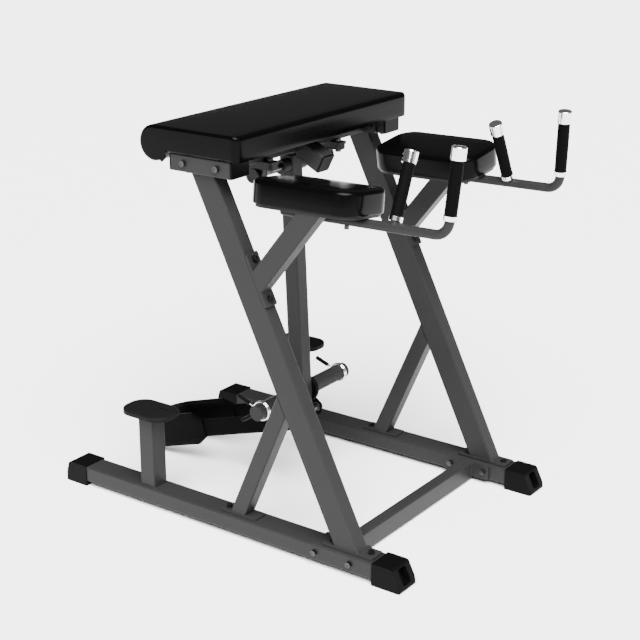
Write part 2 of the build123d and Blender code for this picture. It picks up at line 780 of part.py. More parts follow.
def elbow_pad(side):
    """Elbow cushion over its board."""
    body = rest_plan(0, rest_thickness)
    body = fillet(body.faces().sort_by(Axis.Z)[-1].edges(), rest_edge_radius)
    body -= rest_plan(rest_board_margin, rest_board_thickness)
    return rest_frame(side) * body


def elbow_board(side):
    """Plywood board in the cushion's underside."""
    board = rest_plan(rest_board_margin, rest_board_thickness)
    for place in rest_screw_places(side):
        board -= place * cap_screw_hole(0, rest_screw_grip() + rest_board_thickness - 3.0)
    return rest_frame(side) * board


def elbow_plate(side):
    """Steel plate under the cushion, welded on the upper brace."""
    plate = Pos(0, 0, -rest_plate_thickness) * rest_plan(rest_plate_margin, rest_plate_thickness)
    for place in rest_screw_places(side):
        plate -= place * cap_screw_hole(0, rest_screw_grip() + rest_board_thickness - 3.0)
    return rest_frame(side) * plate


def rest_screw_grip():
    """Length from a rest screw's head to the underside of the cushion."""
    return handle_diameter + rest_plate_thickness + soft_clearance


def rest_screw_places(side):
    """Screws up through the handle bar, in the elbow rest's frame."""
    offset = side * (handle_y - rest_y)
    return [Pos(x, offset, -rest_screw_grip()) for x in (rest_rear_bolt_x, rest_front_bolt_x)]


def handle_point(x):
    """Point on the handle bar's level run, in the right height for its x."""
    rise = (x - rest_x) * tan(radians(rest_pitch_angle))
    level = rest_z - (rest_plate_thickness + handle_diameter / 2) / cos(radians(rest_cant_angle))
    return Vector(x, handle_y, level + rise)


def grip_direction(forward, inward):
    """Unit direction of a grip on the left side, leaning forward and inward by two angles."""
    return Vector(tan(radians(forward)), -tan(radians(inward)), 1).normalized()


def grips():
    """Start point, direction and ring distance of the front and rear grip on the left side."""
    front = grip_direction(front_grip_forward_angle, front_grip_inward_angle)
    rear = grip_direction(-rear_grip_backward_angle, rear_grip_inward_angle)
    return {"front": (handle_point(handle_corner_x), front, front_ring_distance),
            "rear": (handle_point(rear_grip_x), rear, rear_ring_distance)}


def mirrored(side, shape):
    """The shape itself on the left, and its mirror image on the right."""
    return shape if side > 0 else mirror(shape, Plane.XZ)


def handle_bar(side):
    """Bent handle bar with the stub of the rear grip welded on."""
    start = handle_point(handle_rear_x)
    corner, front, front_ring = grips()["front"]
    reach = front_ring + grip_ring_length / 2 + grip_length + grip_cap_length / 2 - 4.0
    path = FilletPolyline(start, corner, corner + front * reach, radius=handle_bend_radius)
    outline = Plane(origin=path @ 0, z_dir=path % 0)
    solid = sweep(outline * Circle(handle_diameter / 2), path)
    hollow = sweep(outline * Circle(handle_diameter / 2 - handle_wall), path)
    root, rear, rear_ring = grips()["rear"]
    reach = rear_ring + grip_ring_length / 2 + grip_length + grip_cap_length / 2 - 4.0
    stub = Plane(origin=root, z_dir=rear)
    solid += extrude(stub * Circle(handle_diameter / 2), reach)
    hollow += extrude(stub * Circle(handle_diameter / 2 - handle_wall), reach)
    bar = solid - hollow
    for place in rest_screw_places(1):
        bar -= rest_frame(1) * place * cap_screw_hole(rest_screw_grip(), 2.0)
    return mirrored(side, bar)


def grip_sleeve(side, which):
    """Foam grip between its chrome ring and its chrome cap."""
    root, direction, ring = grips()[which]
    start = Plane(origin=root + direction * (ring + grip_ring_length / 2), z_dir=direction)
    sleeve = extrude(start * Circle(grip_diameter / 2), grip_length)
    bore = extrude(start * Circle(handle_diameter / 2), grip_length)
    return mirrored(side, sleeve - bore)


def grip_trim():
    """Chrome rings and caps of all four grips."""
    trim = []
    for side in sides.values():
        for root, direction, distance in grips().values():
            ring_start = Plane(origin=root + direction * (distance - grip_ring_length / 2), z_dir=direction)
            ring = extrude(ring_start * Circle(grip_ring_diameter / 2), grip_ring_length)
            ring -= extrude(ring_start * Circle(handle_diameter / 2), grip_ring_length)
            along = distance + grip_ring_length / 2 + grip_length
            cap_start = Plane(origin=root + direction * along, z_dir=direction)
            cap = extrude(cap_start * Circle(grip_cap_diameter / 2), grip_cap_length)
            far_face = cap.faces().sort_by(lambda face: (face.center() - root).length)[-1]
            cap = fillet(far_face.edges(), 4.0)
            cap -= extrude(cap_start * Circle(handle_diameter / 2), grip_cap_length / 2)
            trim.append(mirrored(side, ring))
            trim.append(mirrored(side, cap))
    return trim


def step_post(side):
    """Upright for a foot step, with the plate that carries the step."""
    plate_z = step_top_z - step_pad_thickness - step_plate_thickness
    height = plate_z - rail_top_z
    post = Pos(0, 0, rail_top_z + height / 2) * tube(height, step_post_size, step_post_size)
    plate = extrude(RectangleRounded(step_plate_length, step_plate_width, 12.0), step_plate_thickness)
    return Pos(step_x, side * rail_y, 0) * (post + Pos(0, 0, plate_z) * plate)


def step_pad(side):
    """Oval tread on a foot step."""
    plan = RectangleRounded(step_pad_length, step_pad_width, step_pad_corner)
    pad = extrude(plan, step_pad_thickness)
    pad = fillet(pad.faces().sort_by(Axis.Z)[-1].edges(), 3.0)
    slot = extrude(SlotOverall(step_slot_length, step_slot_width), step_slot_depth, both=True)
    pad -= Pos(step_slot_forward, -side * step_slot_inward, step_pad_thickness) * slot
    return Pos(step_x, side * rail_y, step_top_z - step_pad_thickness) * pad


def main():
    """Writes every node."""
    os.makedirs("parts", exist_ok=True)
    for name, side in sides.items():
        write(f"base_rail_{name}", base_rail(side))
        write(f"foot_cap_front_{name}", foot_cap(side, 1))
        write(f"foot_cap_rear_{name}", foot_cap(side, -1))
        write(f"main_leg_{name}", main_leg(side))
        write(f"lower_brace_{name}", lower_brace(side))
        write(f"upper_brace_{name}", upper_brace(side))
        write(f"top_side_tube_{name}", top_side_tube(side))
        write(f"elbow_plate_{name}", elbow_plate(side))
        write(f"elbow_pad_{name}", elbow_pad(side))
        write(f"handle_bar_{name}", handle_bar(side))
        write(f"grips_{name}", [grip_sleeve(side, which) for which in grips()])
        write(f"bearing_housing_{name}", bearing_housing(side))
        write(f"step_post_{name}", step_post(side))
        write(f"step_pad_{name}", step_pad(side))
        write(f"weight_horn_{name}", weight_horn(side))
        for coil, half in enumerate(("outer", "inner")):
            write(f"collar_{half}_coil_{name}", collar_coil(side, coil))
            write(f"collar_{half}_sleeve_{name}", collar_sleeve(side, coil))
    beam_z = rail_top_z - beam_height / 2
    write("front_cross_beam", cross_member(beam_x, beam_z, rail_middle_z, beam_depth, beam_height))
    write("top_cross_tube", top_cross_tube())
    write("top_tube_plugs", top_tube_plugs())
    write("stop_arm", stop_arm())
    write("stop_bumper", stop_bumper())
    write("bearing_inserts", [bearing_insert(side) for side in sides.values()])
    write("bearing_seals", [bearing_seal(side) for side in sides.values()])
    write("pivot_shaft", pivot_shaft())
    write("shaft_collars", shaft_collars())
    write("pendulum_arm", pendulum_arm())
    write("pendulum_plugs", pendulum_plugs())
    write("horn_caps", horn_caps())
    write("stop_discs", stop_discs())
    write("strap_pin", strap_pin())
    write("ankle_strap", ankle_strap())
    write("hip_pad_board", hip_board())
    write("hip_pad", hip_pad())
    write("elbow_boards", [elbow_board(side) for side in sides.values()])
    write("grip_trim", grip_trim())
    screws = []
    nuts = []
    for place, grip in frame_bolts:
        parts, nut = bolt(grip)
        screws += [place * part for part in parts]
        nuts.append(place * nut)
    write("frame_bolts", screws)
    write("frame_nuts", nuts)
    pad_screws = [place * cap_screw(side_tube_height, board_thickness - 4.0) for place in hip_screw_places()]
    for side in sides.values():
        for place in rest_screw_places(side):
            screw = cap_screw(rest_screw_grip(), rest_board_thickness - 4.0)
            pad_screws.append(rest_frame(side) * place * screw)
    write("pad_screws", pad_screws)


if __name__ == "__main__":
    main()
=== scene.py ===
"""Looks of the reverse hyperextension machine: pads, strap, grips, welds, finishes and studio."""
import json
import math

import bmesh
import bpy
from mathutils import Matrix, Vector


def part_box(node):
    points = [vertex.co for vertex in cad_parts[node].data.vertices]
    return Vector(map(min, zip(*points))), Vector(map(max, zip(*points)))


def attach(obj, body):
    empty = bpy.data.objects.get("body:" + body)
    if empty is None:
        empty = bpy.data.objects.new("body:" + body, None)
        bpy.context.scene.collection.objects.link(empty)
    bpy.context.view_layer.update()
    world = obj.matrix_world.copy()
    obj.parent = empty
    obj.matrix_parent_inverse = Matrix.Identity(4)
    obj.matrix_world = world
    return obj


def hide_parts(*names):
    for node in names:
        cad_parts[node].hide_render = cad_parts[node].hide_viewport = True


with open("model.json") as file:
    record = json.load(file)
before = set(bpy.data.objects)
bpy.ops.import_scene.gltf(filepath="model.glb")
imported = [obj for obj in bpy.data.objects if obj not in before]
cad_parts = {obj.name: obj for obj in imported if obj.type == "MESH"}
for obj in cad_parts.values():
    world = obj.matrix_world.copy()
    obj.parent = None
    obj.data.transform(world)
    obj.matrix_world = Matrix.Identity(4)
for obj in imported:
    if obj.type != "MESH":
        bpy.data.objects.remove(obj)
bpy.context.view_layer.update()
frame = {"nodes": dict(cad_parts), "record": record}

bl_info = {
    "name": "Reverse hyperextension machine",
    "version": (1, 0, 0),
    "blender": (4, 5, 0),
    "location": "View3D > Sidebar > Hyper machine",
    "description": "Builds the pads, strap, grips, welds and finishes around the packed steel frame",
    "category": "Add Mesh",
}

MM = 0.001
SIDES = {"right": -1, "left": 1}
SLOT_OF = {entry["node"]: entry["material_slot"] for entry in frame["record"]["subparts"]}


# Sizes and colours

class PadSizes(bpy.types.PropertyGroup):
    """Shapes of the cushions"""
    edge: bpy.props.FloatProperty(
        name="Hip pad edge", description="Rounding along the hip pad's ends",
        default=9 * MM, min=0.002, unit="LENGTH")
    corner: bpy.props.FloatProperty(
        name="Hip pad corner", description="Rounding of the hip pad's front corners",
        default=24 * MM, min=0.002, unit="LENGTH")
    crown: bpy.props.FloatProperty(
        name="Crown", description="How far the cushions stand proud in the middle",
        default=2.5 * MM, min=0, unit="LENGTH")
    rest_edge: bpy.props.FloatProperty(
        name="Elbow pad edge", description="Rounding along the top of the elbow cushions",
        default=13 * MM, min=0.002, unit="LENGTH")


class StrapSizes(bpy.types.PropertyGroup):
    """Shapes of the ankle strap"""
    web: bpy.props.FloatProperty(
        name="Webbing", description="Thickness of the webbing", default=5.4 * MM, unit="LENGTH")
    cuff: bpy.props.FloatProperty(
        name="Cuff", description="Thickness of the padded cuff", default=16 * MM, unit="LENGTH")
    stitch: bpy.props.FloatProperty(
        name="Stitch spacing", description="Distance from one stitch to the next",
        default=6 * MM, min=0.002, unit="LENGTH")


class Finishes(bpy.types.PropertyGroup):
    """Colours of the finishes"""
    paint: bpy.props.FloatVectorProperty(
        name="Paint", description="Powder coat on the frame", subtype="COLOR",
        default=(0.0112, 0.0112, 0.0114), min=0, max=1)
    vinyl: bpy.props.FloatVectorProperty(
        name="Vinyl", description="Cover of the cushions", subtype="COLOR",
        default=(0.0007, 0.0007, 0.0007), min=0, max=1)
    rubber: bpy.props.FloatVectorProperty(
        name="Rubber", description="Foot caps and stop discs", subtype="COLOR",
        default=(0.0011, 0.0011, 0.0011), min=0, max=1)
    tread: bpy.props.FloatVectorProperty(
        name="Tread", description="Foot steps", subtype="COLOR",
        default=(0.0028, 0.0028, 0.0029), min=0, max=1)
    nylon: bpy.props.FloatVectorProperty(
        name="Nylon", description="Webbing and cuff of the ankle strap", subtype="COLOR",
        default=(0.0004, 0.0004, 0.0004), min=0, max=1)


class Studio(bpy.types.PropertyGroup):
    """Camera and light"""
    azimuth: bpy.props.FloatProperty(
        name="Azimuth", description="Direction of the camera round the machine",
        default=math.radians(35.74), subtype="ANGLE")
    elevation: bpy.props.FloatProperty(
        name="Elevation", description="Height of the camera over the horizon",
        default=math.radians(19.02), subtype="ANGLE")
    distance: bpy.props.FloatProperty(
        name="Distance", description="Camera to the point it looks at", default=4.4563, unit="LENGTH")
    target: bpy.props.FloatVectorProperty(
        name="Target", description="Point the camera looks at", subtype="TRANSLATION",
        default=(0.0222, 0.0004, 0.5667))
    lens: bpy.props.FloatProperty(name="Lens", description="Focal length", default=81.9)
    sky: bpy.props.FloatProperty(
        name="Sky", description="Strength of the even light all round", default=0.15, min=0)
    sun: bpy.props.FloatProperty(
        name="Sun", description="Strength of the wide soft light from above", default=20.0, min=0)
    fill: bpy.props.FloatProperty(
        name="Fill", description="Strength of the two lights at the sides", default=20.0, min=0)
    spread: bpy.props.FloatProperty(
        name="Sun width", description="How wide the light from above is", default=math.radians(50),
        subtype="ANGLE")


# Shared shader groups

def socket(tree, name, kind, into=True, value=None):
    """Adds a named input or output to a shader group."""
    made = tree.interface.new_socket(
        name=name, in_out="INPUT" if into else "OUTPUT", socket_type=f"NodeSocket{kind}")
    if value is not None:
        made.default_value = value


def new_group(name):
    """An empty shader group with its input and output nodes."""
    tree = bpy.data.node_groups.new(name, "ShaderNodeTree")
    return tree, tree.nodes.new("NodeGroupInput"), tree.nodes.new("NodeGroupOutput")


def math_node(tree, operation, first, second=None, third=None):
    """A Math node fed by sockets or numbers."""
    node = tree.nodes.new("ShaderNodeMath")
    node.operation = operation
    for place, value in enumerate((first, second, third)):
        if value is None:
            continue
        if isinstance(value, (int, float)):
            node.inputs[place].default_value = value
        else:
            tree.links.new(value, node.inputs[place])
    return node.outputs[0]


def noise_node(tree, vector, scale, detail=4.0, roughness=0.5):
    """A Noise Texture; scale may be a socket."""
    node = tree.nodes.new("ShaderNodeTexNoise")
    tree.links.new(vector, node.inputs["Vector"])
    if isinstance(scale, (int, float)):
        node.inputs["Scale"].default_value = scale
    else:
        tree.links.new(scale, node.inputs["Scale"])
    node.inputs["Detail"].default_value = detail
    node.inputs["Roughness"].default_value = roughness
    return node.outputs["Fac"]


def mix_colour(tree, factor, first, second):
    """A colour Mix node fed by sockets or colours."""
    node = tree.nodes.new("ShaderNodeMix")
    node.data_type = "RGBA"
    for name, value in (("Factor", factor), ("A", first), ("B", second)):
        place = next(s for s in node.inputs if s.name == name and s.enabled)
        if isinstance(value, (int, float, tuple)):
            place.default_value = value
        else:
            tree.links.new(value, place)
    return next(s for s in node.outputs if s.enabled)


def mottle_group():
    """Cloudy change of colour and roughness, in two sizes of patch."""
    tree, inside, outside = new_group("mottle")
    socket(tree, "Vector", "Vector")
    socket(tree, "Colour", "Color", value=(0.5, 0.5, 0.5, 1))
    socket(tree, "Tint", "Color", value=(0.6, 0.6, 0.6, 1))
    socket(tree, "Scale", "Float", value=6.0)
    socket(tree, "Roughness", "Float", value=0.5)
    socket(tree, "Spread", "Float", value=0.1)
    socket(tree, "Colour", "Color", into=False)
    socket(tree, "Roughness", "Float", into=False)
    large = noise_node(tree, inside.outputs["Vector"], inside.outputs["Scale"], 5.0, 0.55)
    fine_scale = math_node(tree, "MULTIPLY", inside.outputs["Scale"], 9.0)
    fine = noise_node(tree, inside.outputs["Vector"], fine_scale, 3.0, 0.6)
    both = math_node(tree, "MULTIPLY_ADD", fine, 0.35, math_node(tree, "MULTIPLY", large, 0.65))
    factor = math_node(tree, "SUBTRACT", both, 0.5)
    strong = math_node(tree, "MULTIPLY_ADD", factor, 2.6, 0.5)
    clamp = tree.nodes.new("ShaderNodeClamp")
    tree.links.new(strong, clamp.inputs["Value"])
    colour = mix_colour(tree, clamp.outputs[0], inside.outputs["Colour"], inside.outputs["Tint"])
    tree.links.new(colour, outside.inputs["Colour"])
    rough = math_node(tree, "MULTIPLY_ADD", factor, inside.outputs["Spread"], inside.outputs["Roughness"])
    tree.links.new(rough, outside.inputs["Roughness"])
    return tree


def grain_group():
    """Pebbled skin: cells with soft valleys, broken up by noise."""
    tree, inside, outside = new_group("grain")
    socket(tree, "Vector", "Vector")
    socket(tree, "Scale", "Float", value=800.0)
    socket(tree, "Roughen", "Float", value=0.4)
    socket(tree, "Height", "Float", into=False)
    cells = tree.nodes.new("ShaderNodeTexVoronoi")
    cells.feature = "SMOOTH_F1"
    cells.inputs["Smoothness"].default_value = 0.6
    tree.links.new(inside.outputs["Vector"], cells.inputs["Vector"])
    tree.links.new(inside.outputs["Scale"], cells.inputs["Scale"])
    noise = noise_node(tree, inside.outputs["Vector"], inside.outputs["Scale"], 2.0, 0.5)
    height = math_node(tree, "SUBTRACT", 1.0, cells.outputs["Distance"])
    rough = math_node(tree, "MULTIPLY", noise, inside.outputs["Roughen"])
    tree.links.new(math_node(tree, "ADD", height, rough), outside.inputs["Height"])
    return tree


def weave_group():
    """Plain weave from two crossing sets of threads."""
    tree, inside, outside = new_group("weave")
    socket(tree, "Vector", "Vector")
    socket(tree, "Along", "Float", value=500.0)
    socket(tree, "Across", "Float", value=500.0)
    socket(tree, "Height", "Float", into=False)
    split = tree.nodes.new("ShaderNodeSeparateXYZ")
    tree.links.new(inside.outputs["Vector"], split.inputs[0])
    along = math_node(tree, "MULTIPLY", split.outputs["X"], inside.outputs["Along"])
    across = math_node(tree, "MULTIPLY", split.outputs["Y"], inside.outputs["Across"])
    warp, weft = (
        math_node(tree, "ABSOLUTE", math_node(tree, "SINE", math_node(tree, "MULTIPLY", way, math.pi)))
        for way in (along, across))
    steps = math_node(tree, "ADD", math_node(tree, "FLOOR", along), math_node(tree, "FLOOR", across))
    odd = math_node(tree, "MODULO", math_node(tree, "ABSOLUTE", steps), 2.0)
    over = math_node(tree, "MULTIPLY", warp, math_node(tree, "MULTIPLY_ADD", odd, 0.45, 0.55))
    under = math_node(tree, "MULTIPLY", weft, math_node(tree, "MULTIPLY_ADD", odd, -0.45, 1.0))
    height = math_node(tree, "MAXIMUM", over, under)
    tree.links.new(height, outside.inputs["Height"])
    return tree


def shared(name, build):
    """The shader group of that name, built the first time."""
    return bpy.data.node_groups.get(name) or build()


# Finishes

def use_group(tree, group, vector, **values):
    """Places a shader group, with its vector and its own values."""
    node = tree.nodes.new("ShaderNodeGroup")
    node.node_tree = group
    tree.links.new(vector, node.inputs["Vector"])
    for name, value in values.items():
        node.inputs[name].default_value = value
    return node


def start_material(name):
    """A node material with its shader and an Object coordinate."""
    material = bpy.data.materials.new(name)
    material.use_nodes = True
    tree = material.node_tree
    shader = tree.nodes["Principled BSDF"]
    place = tree.nodes.new("ShaderNodeTexCoord")
    return material, tree, shader, place


def bump(tree, shader, height, depth):
    """Feeds a height into the shader's normal."""
    node = tree.nodes.new("ShaderNodeBump")
    node.inputs["Distance"].default_value = depth
    node.inputs["Strength"].default_value = 1.0
    tree.links.new(height, node.inputs["Height"])
    tree.links.new(node.outputs["Normal"], shader.inputs["Normal"])


def coated(name, colour, scale, roughness, grain, depth, specular, spread=0.12, roughen=0.6):
    """A material with cloudy colour and roughness and a fine pebbled surface."""
    material, tree, shader, place = start_material(name)
    vector = place.outputs["Object"]
    tint = tuple(min(1.0, part * 1.18) for part in colour)
    cloud = use_group(tree, shared("mottle", mottle_group), vector, Colour=(*colour, 1), Tint=(*tint, 1),
                      Scale=scale, Roughness=roughness, Spread=spread)
    tree.links.new(cloud.outputs["Colour"], shader.inputs["Base Color"])
    tree.links.new(cloud.outputs["Roughness"], shader.inputs["Roughness"])
    skin = use_group(tree, shared("grain", grain_group), vector, Scale=grain, Roughen=roughen)
    bump(tree, shader, skin.outputs["Height"], depth)
    shader.inputs["Specular IOR Level"].default_value = specular
    return material


def brushed(name, colour, roughness, stretch, scale, depth):
    """A metal with fine turned or drawn lines; stretch squeezes the pattern along an axis."""
    material, tree, shader, place = start_material(name)
    turn = tree.nodes.new("ShaderNodeMapping")
    turn.inputs["Scale"].default_value = stretch
    tree.links.new(place.outputs["Object"], turn.inputs["Vector"])
    lines = noise_node(tree, turn.outputs["Vector"], scale, 3.0, 0.6)
    cloud = use_group(tree, shared("mottle", mottle_group), place.outputs["Object"], Colour=(*colour, 1),
                      Tint=(*[part * 0.86 for part in colour], 1), Scale=14.0, Roughness=roughness,
                      Spread=0.14)
    tree.links.new(cloud.outputs["Colour"], shader.inputs["Base Color"])
    tree.links.new(cloud.outputs["Roughness"], shader.inputs["Roughness"])
    bump(tree, shader, lines, depth)
    shader.inputs["Metallic"].default_value = 1.0
    return material


def woven(name, colour, along, across, depth):
    """Webbing or cloth, with threads laid on the piece's own map."""
    material, tree, shader, place = start_material(name)
    threads = use_group(tree, shared("weave", weave_group), place.outputs["UV"], Along=along, Across=across)
    # Painted shade in the gaps between threads and painted highlight on the thread crests: the colour follows
    # the weave height
    lit = tuple(part * 1.9 for part in colour)
    colour_out = mix_colour(tree, threads.outputs["Height"], (*[part * 0.5 for part in colour], 1), (*lit, 1))
    tree.links.new(colour_out, shader.inputs["Base Color"])
    fuzz = noise_node(tree, place.outputs["Object"], 1500.0, 2.0)
    rough = math_node(tree, "MULTIPLY_ADD", fuzz, 0.25, 0.55)
    tree.links.new(rough, shader.inputs["Roughness"])
    both = math_node(tree, "MULTIPLY_ADD", fuzz, 0.2, threads.outputs["Height"])
    bump(tree, shader, both, depth)
    shader.inputs["Specular IOR Level"].default_value = 0.03
    shader.inputs["Sheen Weight"].default_value = 0.01
    shader.inputs["Sheen Roughness"].default_value = 0.4
    return material


# Painted, moulded and covered surfaces: a colour, or the name of one in Finishes, and its looks
COATED = {
    "frame_paint": ("paint", dict(scale=3.0, roughness=0.42, spread=0.16, grain=1400.0, depth=0.03 * MM,
                                  roughen=0.9, specular=0.09)),
    "pad_vinyl": ("vinyl", dict(scale=9.0, roughness=0.24, spread=0.08, grain=1100.0, depth=0.02 * MM,
                                roughen=0.5, specular=0.04)),
    "black_rubber": ("rubber", dict(scale=12.0, roughness=0.56, spread=0.2, grain=1600.0, depth=0.03 * MM,
                                    specular=0.04)),
    "tread_rubber": ("tread", dict(scale=16.0, roughness=0.6, spread=0.2, grain=1200.0, depth=0.06 * MM,
                                   specular=0.06)),
    "grip_foam": ((0.0008, 0.0008, 0.0008),
                  dict(scale=30.0, roughness=0.72, spread=0.2, grain=2200.0, depth=0.10 * MM, roughen=1.4,
                       specular=0.03)),
    "black_plastic": ((0.0010, 0.0010, 0.0010),
                      dict(scale=20.0, roughness=0.42, spread=0.15, grain=2000.0, depth=0.02 * MM,
                           specular=0.05)),
    "grey_plastic": ((0.0112, 0.0112, 0.0114),
                     dict(scale=20.0, roughness=0.45, grain=2000.0, depth=0.02 * MM, specular=0.12)),
    "bearing_iron": ((0.0105, 0.0105, 0.0107),
                     dict(scale=25.0, roughness=0.5, spread=0.2, grain=420.0, depth=0.12 * MM, roughen=1.2,
                          specular=0.12)),
    "cuff_cover": ((0.0005, 0.0005, 0.0005),
                   dict(scale=14.0, roughness=0.5, spread=0.14, grain=1000.0, depth=0.06 * MM, roughen=0.8,
                        specular=0.03)),
    "cuff_thread": ((0.006, 0.006, 0.006),
                    dict(scale=40.0, roughness=0.6, grain=3000.0, depth=0.05 * MM, specular=0.1)),
    "plywood": ((0.12, 0.075, 0.038),
                dict(scale=20.0, roughness=0.7, grain=300.0, depth=0.1 * MM, specular=0.2)),
}

# Bare metals: colour, roughness, stretch of the lines, their scale and depth
BRUSHED = {
    "bright_chrome": ((0.86, 0.86, 0.87), 0.10, (1, 1, 1), 90.0, 0.002 * MM),
    "fastener_steel": ((0.05, 0.05, 0.051), 0.36, (1, 1, 1), 700.0, 0.01 * MM),
    "bare_steel": ((0.09, 0.09, 0.092), 0.34, (1, 0.04, 1), 900.0, 0.008 * MM),
}


def finish_for(slot):
    """The material of one of the record's slots, made the first time it is asked for."""
    name = f"finish_{slot}"
    known = bpy.data.materials.get(name)
    if known:
        return known
    own = bpy.context.scene.hyper_finishes
    if slot in COATED:
        colour, looks = COATED[slot]
        if isinstance(colour, str):
            colour = tuple(getattr(own, colour))
        return coated(name, colour, **looks)
    if slot == "strap_fabric":
        return woven(name, tuple(own.nylon), 620.0, 420.0, 0.14 * MM)
    return brushed(name, *BRUSHED[slot])


# Mesh helpers

def put_piece(name, bm, slot, body, replaces=(), sharp=math.radians(40), material=None):
    """Turns a bmesh into a finished piece that rides on a body."""
    mesh = bpy.data.meshes.new(name)
    bmesh.ops.recalc_face_normals(bm, faces=bm.faces)
    bm.to_mesh(mesh)
    bm.free()
    mesh.shade_smooth()
    mesh.set_sharp_from_angle(angle=sharp)
    piece = bpy.data.objects.new(name, mesh)
    bpy.context.scene.collection.objects.link(piece)
    mesh.materials.append(material or finish_for(slot))
    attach(piece, body)
    if replaces:
        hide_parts(*replaces)
    return piece


def boundary(bm):
    """Edges with an open side, or wire edges when there are no faces yet."""
    return [edge for edge in bm.edges if len(edge.link_faces) < 2]


def draw_on(bm, tip, point):
    """Extrudes an outline's last vertex to a point."""
    made = bmesh.ops.extrude_vert_indiv(bm, verts=[tip])["verts"][0]
    made.co = Vector(point)
    return made


def sweep_on(bm, tip, centre, axis, angle, steps):
    """Extrudes an outline's last vertex along an arc."""
    made = bmesh.ops.spin(bm, geom=[tip], cent=centre, axis=axis, angle=angle, steps=steps,
                          use_duplicate=False)["geom_last"]
    return next(item for item in made if isinstance(item, bmesh.types.BMVert))


def spin_round(bm, steps):
    """Turns an outline in the XZ plane once round the Z axis."""
    geom = list(bm.verts) + list(bm.edges)
    bmesh.ops.spin(bm, geom=geom, cent=(0, 0, 0), axis=(0, 0, 1), angle=math.radians(360),
                   steps=steps, use_merge=True)
    bmesh.ops.remove_doubles(bm, verts=bm.verts, dist=1e-6)


def start_ring(bm, count):
    """A closed ring of wire edges: its edges, and its vertices in order."""
    verts = bmesh.ops.create_circle(bm, cap_ends=False, segments=count, radius=1.0)["verts"]
    return list({edge for vert in verts for edge in vert.link_edges}), verts


def pull_ring(bm, edges, verts):
    """Extrudes a ring of edges; returns the new edges, and the new vertices in the old order."""
    made = bmesh.ops.extrude_edge_only(bm, edges=edges)["geom"]
    fresh = {item for item in made if isinstance(item, bmesh.types.BMVert)}
    ring = [item for item in made if isinstance(item, bmesh.types.BMEdge)
            and all(vert in fresh for vert in item.verts)]
    after = [next(edge.other_vert(vert) for edge in vert.link_edges if edge.other_vert(vert) in fresh)
             for vert in verts]
    return ring, after


def add_copy(bm, part):
    """Adds a finished bmesh to another one."""
    mesh = bpy.data.meshes.new("part")
    part.to_mesh(mesh)
    part.free()
    bm.from_mesh(mesh)
    bpy.data.meshes.remove(mesh)


def rounded(span, radius, steps):
    """Distances along a piece, from end to end, close together over each rounded end."""
    half = span / 2
    turn = [half - radius + radius * math.sin(math.radians(90) * step / steps)
            for step in range(steps + 1)]
    least_gap = 2 * MM
    middle = [half * part for part in (-0.9, -0.75, -0.5, -0.25, 0, 0.25, 0.5, 0.75, 0.9)]
    middle = [place for place in middle if abs(place) < half - radius - least_gap]
    return [-place for place in reversed(turn)] + middle + turn


def drawn_in(radius, beyond):
    """How far a rounded edge has come in, at a distance past the start of its rounding."""
    beyond = min(max(beyond, 0.0), radius)
    return radius - math.sqrt(max(radius * radius - beyond * beyond, 0.0))


# Hip pad

HIP_ROLL_X = -250 * MM
HIP_MIDDLE_X = -90 * MM
HIP_FRONT_X = 55 * MM


def hip_profile(bm, low, high):
    """Side outline of the hip pad, drawn as wire in the XZ plane at Y = 0."""
    roll_radius = 51.5 * MM
    front_radius = 14 * MM
    centre = Vector((HIP_ROLL_X, 0, high - roll_radius))
    rise = low - centre.z
    reach = math.sqrt(roll_radius ** 2 - rise ** 2)
    start = bm.verts.new((centre.x + reach, 0, low))
    first_angle = math.atan2(-rise, reach)
    sweep = math.radians(270) - first_angle
    tip = sweep_on(bm, start, centre, (0, 1, 0), sweep, 30)
    round_x = HIP_FRONT_X - front_radius
    top_steps = 8
    for step in range(1, top_steps + 1):
        tip = draw_on(bm, tip, (centre.x + (round_x - centre.x) * step / top_steps, 0, high))
    tip = sweep_on(bm, tip, (round_x, 0, high - front_radius), (0, 1, 0), math.radians(90), 6)
    for height in (high - 30 * MM, low + 18 * MM, low + 5 * MM):
        tip = draw_on(bm, tip, (HIP_FRONT_X, 0, height))
    for x, height in ((HIP_FRONT_X - 1.5 * MM, low + 1 * MM), (HIP_FRONT_X - 5 * MM, low),
                      (HIP_MIDDLE_X, low)):
        tip = draw_on(bm, tip, (x, 0, height))
    bm.edges.new((tip, start))


